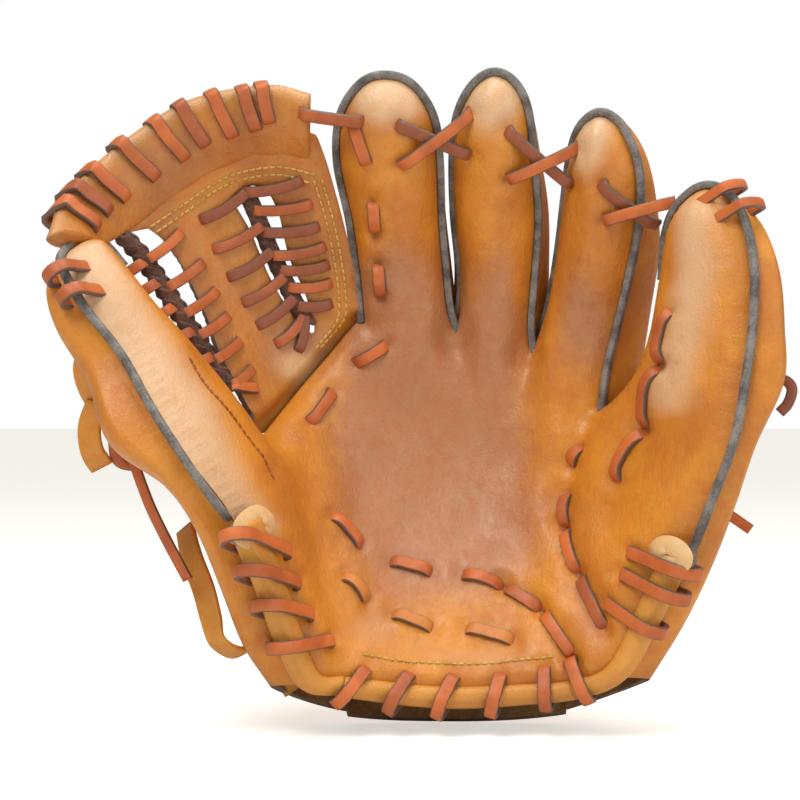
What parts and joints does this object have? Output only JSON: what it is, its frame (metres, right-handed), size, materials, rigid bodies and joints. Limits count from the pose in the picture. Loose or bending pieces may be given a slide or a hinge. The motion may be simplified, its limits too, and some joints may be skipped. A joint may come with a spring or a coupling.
{
  "type": "baseball fielder's glove",
  "caption": "Open baseball fielder's glove with laced finger stalls, a padded top band on a laced web, and a thumb and little finger that fold in.",
  "frame": {"origin": "middle of the wrist opening, where the hand goes in", "axes": "+X towards the little finger, +Z towards the fingertips, -Y towards the ball, out of the pocket"},
  "size_m": [0.3188, 0.1446, 0.2815],
  "materials": {
    "shell_leather": "waxed cowhide, worn",
    "web_leather": "waxed cowhide",
    "rawhide_lace": "oiled rawhide",
    "piping_leather": "dark welt leather",
    "binding_end_leather": "undyed leather, rolled",
    "strap_leather": "cowhide with its flesh side showing",
    "lining_leather": "soft deerskin",
    "wool_felt": "pressed wool felt",
    "fleece": "short pile"
  },
  "bodies": {
    "palm": {"back_of_hand": "shell_leather", "finger_linings": "lining_leather", "heel_binding": "shell_leather", "heel_lace": "rawhide_lace", "index_finger_back": "shell_leather", "index_finger_felt": "wool_felt", "index_finger_front": "shell_leather", "index_finger_piping": "piping_leather", "index_lace": "rawhide_lace", "index_middle_lace": "rawhide_lace", "middle_finger_back": "shell_leather", "middle_finger_felt": "wool_felt", "middle_finger_front": "shell_leather", "middle_finger_piping": "piping_leather", "middle_ring_lace": "rawhide_lace", "palm_felt": "wool_felt", "palm_lace_lower": "rawhide_lace", "palm_lace_side": "rawhide_lace", "palm_lace_upper": "rawhide_lace", "palm_lace_web": "rawhide_lace", "palm_leather": "shell_leather", "palm_lining": "lining_leather", "ring_finger_back": "shell_leather", "ring_finger_felt": "wool_felt", "ring_finger_front": "shell_leather", "ring_finger_piping": "piping_leather", "ring_little_lace": "rawhide_lace", "web_back_panel": "web_leather", "web_band_lace": "rawhide_lace", "web_index_lace": "rawhide_lace", "web_left_lace": "rawhide_lace", "web_panel": "web_leather", "web_right_lace": "rawhide_lace", "web_thumb_lace": "rawhide_lace", "web_top_band": "web_leather", "wrist_fleece": "fleece", "wrist_strap": "shell_leather"},
    "thumb": {"strap_tie": "strap_leather", "thumb_back": "shell_leather", "thumb_binding": "shell_leather", "thumb_binding_end": "binding_end_leather", "thumb_felt": "wool_felt", "thumb_front": "shell_leather", "thumb_heel_lace": "rawhide_lace", "thumb_knots": "rawhide_lace", "thumb_lace_tail": "rawhide_lace", "thumb_lining": "lining_leather", "thumb_piping": "piping_leather"},
    "little_finger": {"little_finger_back": "shell_leather", "little_finger_binding": "shell_leather", "little_finger_binding_end": "binding_end_leather", "little_finger_break_lace": "rawhide_lace", "little_finger_felt": "wool_felt", "little_finger_front": "shell_leather", "little_finger_heel_lace": "rawhide_lace", "little_finger_knots": "rawhide_lace", "little_finger_lace": "rawhide_lace", "little_finger_lining": "lining_leather", "little_finger_piping": "piping_leather"}
  },
  "joints": [
    {"name": "thumb_fold", "type": "hinge", "parent": "palm", "child": "thumb", "pos_m": [-0.0785, -0.026, 0.125], "axis": [-0.2671, 0.1018, 0.9583], "range_deg": [0, 40]},
    {"name": "little_finger_fold", "type": "hinge", "parent": "palm", "child": "little_finger", "pos_m": [0.0685, -0.032, 0.1075], "axis": [-0.1468, -0.0608, -0.9873], "range_deg": [0, 25]}
  ]
}
